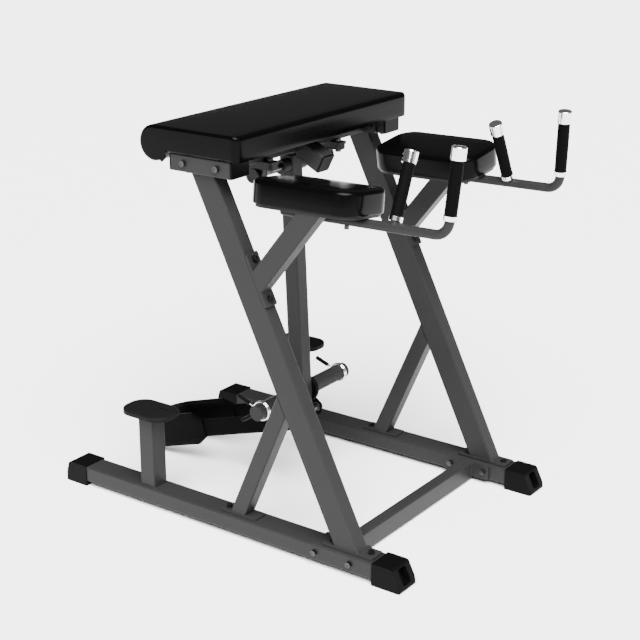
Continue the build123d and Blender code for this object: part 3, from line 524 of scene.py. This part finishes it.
class HYPER_OT_hip_pad(bpy.types.Operator):
    """Wide hip cushion with the roll along its rear edge"""
    bl_idname = "hyper.hip_pad"
    bl_label = "Hip pad"

    def execute(self, context):
        sizes = context.scene.hyper_pads
        low_corner, high_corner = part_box("hip_pad")
        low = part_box("hip_pad_board")[0][2]
        width = high_corner[1] - low_corner[1]
        bm = bmesh.new()
        hip_profile(bm, low, high_corner[2])
        bmesh.ops.remove_doubles(bm, verts=bm.verts, dist=1e-6)
        bm.verts.index_update()
        centre = Vector((HIP_MIDDLE_X, 0, low + 45 * MM))
        swell_reach = 190 * MM
        ring, verts = list(bm.edges), list(bm.verts)
        shape = []
        for vert in verts:
            ahead, behind = [edge.other_vert(vert).co for edge in vert.link_edges]
            along = (ahead - behind).normalized()
            out = Vector((-along.z, 0, along.x))
            if out.dot(vert.co - centre) < 0:
                out.negate()
            shape.append((vert.co.copy(), out))
        reach = sizes.corner + 10 * MM
        inner_x = high_corner[0] - reach
        stations = rounded(width, sizes.corner, 12)
        for number, place in enumerate(stations):
            if number:
                ring, verts = pull_ring(bm, ring, verts)
            edge_in = drawn_in(sizes.edge, abs(place) - (width / 2 - sizes.edge))
            corner_in = drawn_in(sizes.corner, abs(place) - (width / 2 - sizes.corner))
            for vert, (at, out) in zip(verts, shape):
                front = max(0.0, out.x) if at.x > inner_x else 0.0
                x = at.x - out.x * edge_in * (1 - front)
                if x > inner_x:
                    x = inner_x + (x - inner_x) * (reach - corner_in) / reach
                swell = sizes.crown * (1 - (2 * place / width) ** 4) * max(0.0, out.z)
                swell *= max(0.0, 1 - ((at.x - HIP_MIDDLE_X) / swell_reach) ** 2)
                vert.co = Vector((x, place, at.z - out.z * edge_in + swell - sizes.crown * 0.2))
            if number in (0, len(stations) - 1):
                bmesh.ops.contextual_create(bm, geom=ring)
        piece = put_piece("hip_cushion", bm, "pad_vinyl", "frame", ("hip_pad", "hip_pad_board"))
        return {"FINISHED"}


# Elbow pads

REST_X, REST_Y, REST_Z = 237 * MM, 309 * MM, 1019 * MM
REST_CANT, REST_PITCH = math.radians(7.5), math.radians(1.2)
REST_LENGTH, REST_WIDTH, REST_HEIGHT = 351 * MM, 210 * MM, 68 * MM
REST_CORNER = 64 * MM


def rest_place(side):
    """Place of an elbow rest: the cushion's underside is at Z = 0."""
    turn = Matrix.Rotation(REST_CANT * side, 4, "X") @ Matrix.Rotation(-REST_PITCH, 4, "Y")
    return Matrix.Translation((REST_X, side * REST_Y, REST_Z)) @ turn


def plan_face(bm):
    """The outline of an elbow cushion as one flat face on Z = 0."""
    bmesh.ops.create_grid(bm, x_segments=1, y_segments=1, size=0.5)
    bmesh.ops.scale(bm, vec=(REST_LENGTH, REST_WIDTH, 1), verts=bm.verts)
    bmesh.ops.bevel(bm, geom=list(bm.verts), affect="VERTICES", offset=REST_CORNER, segments=12,
                    profile=0.5, material=-1)
    return next(iter(bm.faces))


class HYPER_OT_elbow_pads(bpy.types.Operator):
    """Two elbow cushions with rounded tops"""
    bl_idname = "hyper.elbow_pads"
    bl_label = "Elbow pads"

    def execute(self, context):
        sizes = context.scene.hyper_pads
        height, corner = REST_HEIGHT, REST_CORNER
        core = Vector((REST_LENGTH / 2 - corner, REST_WIDTH / 2 - corner))
        radius = sizes.rest_edge
        # Each level is a height and how far the outline has come in there
        rounds = [(0.4 * MM, 4 * MM), (1.6 * MM, 1.4 * MM), (5 * MM, 0.0), (height * 0.4, 0.0)]
        for angle in (0, 15, 30, 45, 60, 75, 90):
            turn = math.radians(angle)
            rounds.append((height - radius + radius * math.sin(turn), radius * (1 - math.cos(turn))))
        for part, rise in ((0.35, 0.45), (0.6, 0.75), (0.85, 1.0)):
            rounds.append((height + sizes.crown * rise, radius + (corner - radius) * part))
        for name, side in SIDES.items():
            bm = bmesh.new()
            face = plan_face(bm)
            last_in = 0.0
            for number, (up, come_in) in enumerate(rounds):
                if number:
                    made = bmesh.ops.extrude_face_region(bm, geom=[face])["geom"]
                    top = next(item for item in made if isinstance(item, bmesh.types.BMFace))
                    if number > 1 and face.is_valid:
                        bmesh.ops.delete(bm, geom=[face], context="FACES_ONLY")
                    face = top
                for vert in face.verts:
                    away = Vector((vert.co.x - max(-core.x, min(core.x, vert.co.x)),
                                   vert.co.y - max(-core.y, min(core.y, vert.co.y)), 0))
                    if away.length > 1e-7:
                        vert.co -= away.normalized() * (come_in - last_in)
                    vert.co.z = up
                last_in = come_in
            bmesh.ops.transform(bm, matrix=rest_place(side), verts=bm.verts)
            piece = put_piece(f"elbow_cushion_{name}", bm, "pad_vinyl", "frame",
                              (f"elbow_pad_{name}", "elbow_boards"), sharp=math.radians(60))
        return {"FINISHED"}


# Foam grips

# Each grip's X, its lean forward and inward in degrees, and how far up its sleeve starts
GRIPS = {"front": (649 * MM, 3.9, 4.9, 55 * MM), "rear": (485 * MM, -1.4, 24.9, 30 * MM)}
GRIP_Y = 311 * MM
BAR_BELOW_REST = 21.5 * MM
SLEEVE_LENGTH = 145 * MM
SLEEVE_RADIUS = 17 * MM


def grip_line(side, which):
    """Root, direction and sleeve start of a grip; the root is on the handle bar's axis."""
    x, forward, inward, start = GRIPS[which]
    rise = (x - REST_X) * math.tan(REST_PITCH)
    z = REST_Z - BAR_BELOW_REST / math.cos(REST_CANT) + rise
    lean = Vector((math.tan(math.radians(forward)), -side * math.tan(math.radians(inward)), 1)).normalized()
    return Vector((x, side * GRIP_Y, z)), lean, start


def foam_sleeve():
    """One foam sleeve standing on the origin, with rounded ends and a slight swell."""
    sleeve = bmesh.new()
    bore, round_centre = 13.5 * MM, 15.5 * MM
    low, low_round = 0.2 * MM, 1.7 * MM
    high, high_round = SLEEVE_LENGTH - low, SLEEVE_LENGTH - low_round
    tip = sleeve.verts.new((bore, 0, low))
    tip = draw_on(sleeve, tip, (round_centre, 0, low))
    tip = sweep_on(sleeve, tip, (round_centre, 0, low_round), (0, 1, 0), math.radians(-90), 4)
    for part in (0.1, 0.3, 0.5, 0.7, 0.9):
        swell = 0.35 * MM * math.sin(math.pi * part)
        tip = draw_on(sleeve, tip, (SLEEVE_RADIUS + swell, 0, SLEEVE_LENGTH * part))
    tip = draw_on(sleeve, tip, (SLEEVE_RADIUS, 0, high_round))
    tip = sweep_on(sleeve, tip, (round_centre, 0, high_round), (0, 1, 0), math.radians(-90), 4)
    draw_on(sleeve, tip, (bore, 0, high))
    spin_round(sleeve, 40)
    bmesh.ops.holes_fill(sleeve, edges=boundary(sleeve), sides=0)
    return sleeve


class HYPER_OT_foam_grips(bpy.types.Operator):
    """Foam sleeves on the four hand grips"""
    bl_idname = "hyper.foam_grips"
    bl_label = "Foam grips"

    def execute(self, context):
        for name, side in SIDES.items():
            bm = bmesh.new()
            for which in GRIPS:
                root, lean, start = grip_line(side, which)
                sleeve = foam_sleeve()
                turn = Vector((0, 0, 1)).rotation_difference(lean).to_matrix().to_4x4()
                bmesh.ops.transform(sleeve, matrix=Matrix.Translation(root + lean * start) @ turn,
                                    verts=sleeve.verts)
                add_copy(bm, sleeve)
            piece = put_piece(f"foam_grips_{name}", bm, "grip_foam", "frame", (f"grips_{name}",))
        return {"FINISHED"}


# Ankle strap

PIVOT_X, PIVOT_Z = -84 * MM, 1040 * MM
PIN_DROP = 801 * MM
PENDULUM_LEAN, STRAP_DROOP = math.radians(2.65), math.radians(17.3)
STRAP_HALF, STRAP_TURN = 80 * MM, 538 * MM
WEB_HALF_HEIGHT, CUFF_HALF_HEIGHT = 29 * MM, 54 * MM
CUFF_START, CUFF_TAPER = 353 * MM, 41 * MM
CUFF_ROUND = 9 * MM


def strap_place():
    """Place of the strap: its hinge is at the origin, the loop lies along -X."""
    pin = Vector((PIVOT_X + PIN_DROP * math.sin(PENDULUM_LEAN), 0,
                  PIVOT_Z - PIN_DROP * math.cos(PENDULUM_LEAN)))
    return Matrix.Translation(pin) @ Matrix.Rotation(-STRAP_DROOP, 4, "Y")


def u_stations(start, step):
    """Places along the strap's U: (point, direction, distance) from the right band to the left."""
    half, turn_centre = STRAP_HALF, STRAP_TURN
    straight = turn_centre - start
    count = max(2, round(straight / step))
    places = []
    for number in range(count + 1):
        run = straight * number / count
        places.append((Vector((-start - run, -half, 0)), math.radians(180), run))
    arc = max(8, round(math.pi * half / step))
    for number in range(1, arc + 1):
        angle = math.pi * number / arc
        at = Vector((-turn_centre - half * math.sin(angle), -half * math.cos(angle), 0))
        places.append((at, math.radians(180) - angle, straight + half * angle))
    for number in range(1, count + 1):
        run = straight * number / count
        places.append((Vector((-turn_centre + run, half, 0)), 0.0, straight + half * math.pi + run))
    return places


def cuff_height(run, total, half_low):
    """Half height of the cuff: low at its two ends, full after the taper."""
    from_end = min(run, total - run)
    part = min(max(from_end / CUFF_TAPER, 0.0), 1.0)
    return half_low + (CUFF_HALF_HEIGHT - half_low) * part


def band(bm, places, thickness, height_at, corner, crown):
    """Sweeps a rounded strap section along places, with a map in metres."""
    rows = 8
    outline = [(1, -1 + 2 * row / rows) for row in range(rows + 1)]
    outline += [(-1, 1 - 2 * row / rows) for row in range(rows + 1)]
    uv = bm.loops.layers.uv.verify()
    ring, verts = start_ring(bm, len(outline))
    spots = {}
    for number, (at, heading, run) in enumerate(places):
        if number:
            ring, verts = pull_ring(bm, ring, verts)
        side_way = Vector((math.sin(heading), -math.cos(heading), 0))
        half = height_at(run)
        for vert, (face, up) in zip(verts, outline):
            squeeze = 1 - 0.55 * max(0.0, 1 - (1 - abs(up)) * half / corner) ** 2
            bulge = crown * (1 - up * up) * (1 if face > 0 else 0.4)
            vert.co = at + side_way * face * (thickness / 2 * squeeze + bulge) + Vector((0, 0, up * half))
            spots[vert] = (run, up * half)
        if number in (0, len(places) - 1):
            bmesh.ops.contextual_create(bm, geom=ring)
    for face in bm.faces:
        for loop in face.loops:
            loop[uv].uv = spots[loop.vert]


class HYPER_OT_ankle_strap(bpy.types.Operator):
    """Webbing loop with its padded cuff, stitches and eyelets"""
    bl_idname = "hyper.ankle_strap"
    bl_label = "Ankle strap"

    def execute(self, context):
        sizes = context.scene.hyper_strap
        place = strap_place()
        past_pin, end_round = 18 * MM, 20 * MM
        bm = bmesh.new()
        web = u_stations(-past_pin, 12 * MM)
        total = web[-1][2]

        def web_height(run):
            """Half height of the webbing, with rounded ends."""
            beyond = max(0.0, end_round - min(run, total - run))
            return WEB_HALF_HEIGHT - drawn_in(end_round, beyond) * 0.9

        band(bm, web, sizes.web, web_height, 3 * MM, 0.3 * MM)
        bmesh.ops.transform(bm, matrix=place, verts=bm.verts)
        put_piece("strap_webbing", bm, "strap_fabric", "strap", ("ankle_strap",))
        bm = bmesh.new()
        cuff = u_stations(CUFF_START, 8 * MM)
        length = cuff[-1][2]

        def cuff_at(run):
            """Half height of the cuff at a distance along it."""
            return cuff_height(run, length, WEB_HALF_HEIGHT + 1.5 * MM)

        crown = 1.5 * MM
        band(bm, cuff, sizes.cuff - 2 * crown, cuff_at, CUFF_ROUND, crown)
        bmesh.ops.transform(bm, matrix=place, verts=bm.verts)
        piece = put_piece("strap_cuff", bm, "strap_fabric", "strap", sharp=math.radians(55),
                          material=finish_for("cuff_cover"))
        self.stitch(sizes, place, cuff, cuff_at)
        self.eyelets(place)
        return {"FINISHED"}

    def stitch(self, sizes, place, cuff, cuff_at):
        """Rows of thread along both long edges of the cuff's outer face."""
        bm = bmesh.new()
        along = 0.0
        total = cuff[-1][2]
        while along < total:
            number = next(i for i, spot in enumerate(cuff[1:], 1) if spot[2] >= along)
            (a, heading_a, run_a), (b, heading_b, run_b) = cuff[number - 1], cuff[number]
            part = (along - run_a) / (run_b - run_a)
            at = a.lerp(b, part)
            heading = heading_a + (heading_b - heading_a) * part
            out = Vector((math.sin(heading), -math.cos(heading), 0))
            for up in (-1, 1):
                drop = cuff_at(along) - CUFF_ROUND
                spot = at + out * (sizes.cuff / 2 - 0.6 * MM) + Vector((0, 0, up * drop))
                made = bmesh.ops.create_icosphere(bm, subdivisions=1, radius=0.55 * MM)["verts"]
                bmesh.ops.scale(bm, vec=(3.2, 1, 1), verts=made)
                bmesh.ops.rotate(bm, cent=(0, 0, 0), matrix=Matrix.Rotation(heading, 3, "Z"), verts=made)
                bmesh.ops.translate(bm, vec=spot, verts=made)
            along += sizes.stitch
        bmesh.ops.transform(bm, matrix=place, verts=bm.verts)
        put_piece("strap_stitches", bm, "strap_fabric", "strap", material=finish_for("cuff_thread"))

    def eyelets(self, place):
        """Steel rings pressed into the webbing round the pin."""
        bm = bmesh.new()
        for side in (-1, 1):
            for face in (-1, 1):
                ring = bmesh.new()
                tip = ring.verts.new((8.6 * MM, 0, 0))
                tip = sweep_on(ring, tip, (11.5 * MM, 0, 0), (0, 1, 0), math.radians(180), 6)
                spin_round(ring, 32)
                bmesh.ops.scale(ring, vec=(1, 1, 0.25), verts=ring.verts)
                turn = Matrix.Rotation(math.radians(-90 * face), 4, "X")
                shift = Matrix.Translation((0, side * STRAP_HALF + face * 2.7 * MM, 0))
                bmesh.ops.transform(ring, matrix=shift @ turn, verts=ring.verts)
                add_copy(bm, ring)
        bmesh.ops.transform(bm, matrix=place, verts=bm.verts)
        put_piece("strap_eyelets", bm, "bare_steel", "strap")


# Weld beads

BEAD_RADIUS = 1.8 * MM
RIPPLE = 2.2 * MM


def bead(bm, points, flat, closed=True):
    """A ridged bead of weld along points that lie in one plane; flat is the plane's normal."""
    count = len(points)
    steps = []
    for number in range(count if closed else count - 1):
        a, b = Vector(points[number]), Vector(points[(number + 1) % count])
        pieces = max(1, round((b - a).length / RIPPLE))
        steps += [a.lerp(b, part / pieces) for part in range(pieces)]
    if not closed:
        steps.append(Vector(points[-1]))
    last = len(steps) - 1
    ring, verts = start_ring(bm, 6)
    first = ring
    for number, at in enumerate(steps):
        ahead = steps[0 if closed and number == last else min(number + 1, last)]
        behind = steps[number - 1 if closed else max(number - 1, 0)]
        across = (ahead - behind).normalized().cross(flat)
        size = BEAD_RADIUS * (1.0 + 0.13 * math.sin(number * 2.1) + 0.06 * math.sin(number * 0.37))
        if number:
            ring, verts = pull_ring(bm, ring, verts)
        for place, vert in enumerate(verts):
            turn = math.tau * place / len(verts)
            vert.co = at + across * (size * math.cos(turn)) + flat * (size * math.sin(turn))
    if closed:
        bmesh.ops.bridge_loops(bm, edges=first + ring)


def level_box(centre, size_x, size_y):
    """Corners of a level rectangle."""
    x, y, z = centre
    return [(x - size_x / 2, y - size_y / 2, z), (x + size_x / 2, y - size_y / 2, z),
            (x + size_x / 2, y + size_y / 2, z), (x - size_x / 2, y + size_y / 2, z)]


class HYPER_OT_weld_beads(bpy.types.Operator):
    """Weld beads where the tubes meet their plates"""
    bl_idname = "hyper.weld_beads"
    bl_label = "Weld beads"

    def execute(self, context):
        bm = bmesh.new()
        up, sideways = Vector((0, 0, 1)), Vector((0, 1, 0))
        leg_lean, brace_lean = math.radians(25.9), math.radians(23.4)
        tube, leg_depth, post = 50 * MM, 76 * MM, 58 * MM
        # Closed beads: X, Z, and size along X and Y, where a leg, a brace and a step post end
        rings = ((407 * MM - 8 * MM * math.tan(leg_lean), 73 * MM, leg_depth / math.cos(leg_lean), tube),
                 (10 * MM + 6 * MM * math.tan(brace_lean), 71 * MM, tube / math.cos(brace_lean), tube),
                 (-340 * MM, 65 * MM, post, post), (-340 * MM, 295 * MM, post, post))
        # Upright beads on both sides of a cross tube: X, Z, width and height
        tubes = ((364.5 * MM, 35 * MM, 40 * MM, 60 * MM), (-84 * MM, 1111 * MM, 80 * MM, 50 * MM))
        for side in SIDES.values():
            for x, z, size_x, size_y in rings:
                bead(bm, level_box((x, side * 380 * MM, z), size_x, size_y), up)
            inner = side * 332 * MM
            for x, z, wide, tall in tubes:
                low, high = max(z - tall / 2, 15 * MM), z + tall / 2
                for way in (-1, 1):
                    edge_x = x + way * wide / 2
                    bead(bm, [(edge_x, inner, low), (edge_x, inner, high)], sideways, closed=False)
        put_piece("frame_welds", bm, "frame_paint", "frame", sharp=math.radians(80))
        return {"FINISHED"}


# Finishes on the frame's own parts

class HYPER_OT_frame_finish(bpy.types.Operator):
    """Gives every part of the steel frame its finish"""
    bl_idname = "hyper.frame_finish"
    bl_label = "Frame finishes"

    def execute(self, context):
        for name, part in frame["nodes"].items():
            for place in part.material_slots:
                place.material = finish_for(SLOT_OF[name])
        return {"FINISHED"}


# Studio

def hang(scene, name, data, look, at=(0, 0, 0)):
    """Adds a lamp or a camera at a place, facing along a direction."""
    made = bpy.data.objects.new(name, data)
    made.location = at
    made.rotation_euler = look.to_track_quat("-Z", "Y").to_euler()
    scene.collection.objects.link(made)
    return made


class HYPER_OT_studio(bpy.types.Operator):
    """Pale floor, soft lights and the camera"""
    bl_idname = "hyper.studio"
    bl_label = "Studio"

    def execute(self, context):
        scene = context.scene
        own = scene.hyper_studio
        bm = bmesh.new()
        half_floor = 400
        bmesh.ops.create_grid(bm, x_segments=1, y_segments=1, size=half_floor)
        mesh = bpy.data.meshes.new("floor")
        bm.to_mesh(mesh)
        bm.free()
        floor = bpy.data.objects.new("floor", mesh)
        scene.collection.objects.link(floor)
        material, _, shader, _ = start_material("pale_floor")
        shader.inputs["Base Color"].default_value = (0.9, 0.9, 0.9, 1)
        shader.inputs["Roughness"].default_value = 0.85
        mesh.materials.append(material)
        world = bpy.data.worlds.new("studio")
        world.use_nodes = True
        world.node_tree.nodes["Background"].inputs["Color"].default_value = (1, 1, 1, 1)
        world.node_tree.nodes["Background"].inputs["Strength"].default_value = own.sky
        scene.world = world
        sun = bpy.data.lights.new("sun", "SUN")
        sun.energy = own.sun
        sun.angle = own.spread
        hang(scene, "sun", sun, -Vector((0.42, -0.5, 1.0)))
        lit_point = Vector((0, 0, 0.6))
        for name, at in (("left", (0.2, -4.6, 2.4)), ("right", (4.8, 0.6, 2.4))):
            light = bpy.data.lights.new(name, "AREA")
            light.size = 2.4
            light.energy = own.fill
            hang(scene, name, light, lit_point - Vector(at), at)
        camera_data = bpy.data.cameras.new("camera")
        camera_data.lens = own.lens
        camera_data.sensor_width = 36
        level = math.cos(own.elevation)
        away = Vector((level * math.sin(own.azimuth), -level * math.cos(own.azimuth),
                       math.sin(own.elevation)))
        camera = hang(scene, "camera", camera_data, -away, Vector(own.target) + away * own.distance)
        scene.camera = camera
        return {"FINISHED"}


class HYPER_PT_machine(bpy.types.Panel):
    """Lists the machine's pieces"""
    bl_label = "Hyper machine"
    bl_idname = "HYPER_PT_machine"
    bl_space_type = "VIEW_3D"
    bl_region_type = "UI"
    bl_category = "Hyper machine"

    def draw(self, context):
        column = self.layout.column(align=True)
        for operator in STEPS:
            column.operator(operator.bl_idname)
        for group in GROUPS:
            owner = getattr(context.scene, group)
            for name in owner.__annotations__:
                column.prop(owner, name)


STEPS = (HYPER_OT_frame_finish, HYPER_OT_hip_pad, HYPER_OT_elbow_pads, HYPER_OT_foam_grips,
         HYPER_OT_ankle_strap, HYPER_OT_weld_beads, HYPER_OT_studio)
GROUPS = {"hyper_pads": PadSizes, "hyper_strap": StrapSizes, "hyper_finishes": Finishes,
          "hyper_studio": Studio}


def register():
    """Registers the classes and puts their settings on the scene."""
    for group in (*GROUPS.values(), *STEPS, HYPER_PT_machine):
        bpy.utils.register_class(group)
    for name, group in GROUPS.items():
        setattr(bpy.types.Scene, name, bpy.props.PointerProperty(type=group))


def unregister():
    """Takes the settings and the classes away again."""
    for name in GROUPS:
        delattr(bpy.types.Scene, name)
    for group in reversed((*GROUPS.values(), *STEPS, HYPER_PT_machine)):
        bpy.utils.unregister_class(group)


def main():
    """Builds every piece."""
    register()
    for step in STEPS:
        group, name = step.bl_idname.split(".")
        getattr(getattr(bpy.ops, group), name)()


if __name__ == "__main__":
    main()
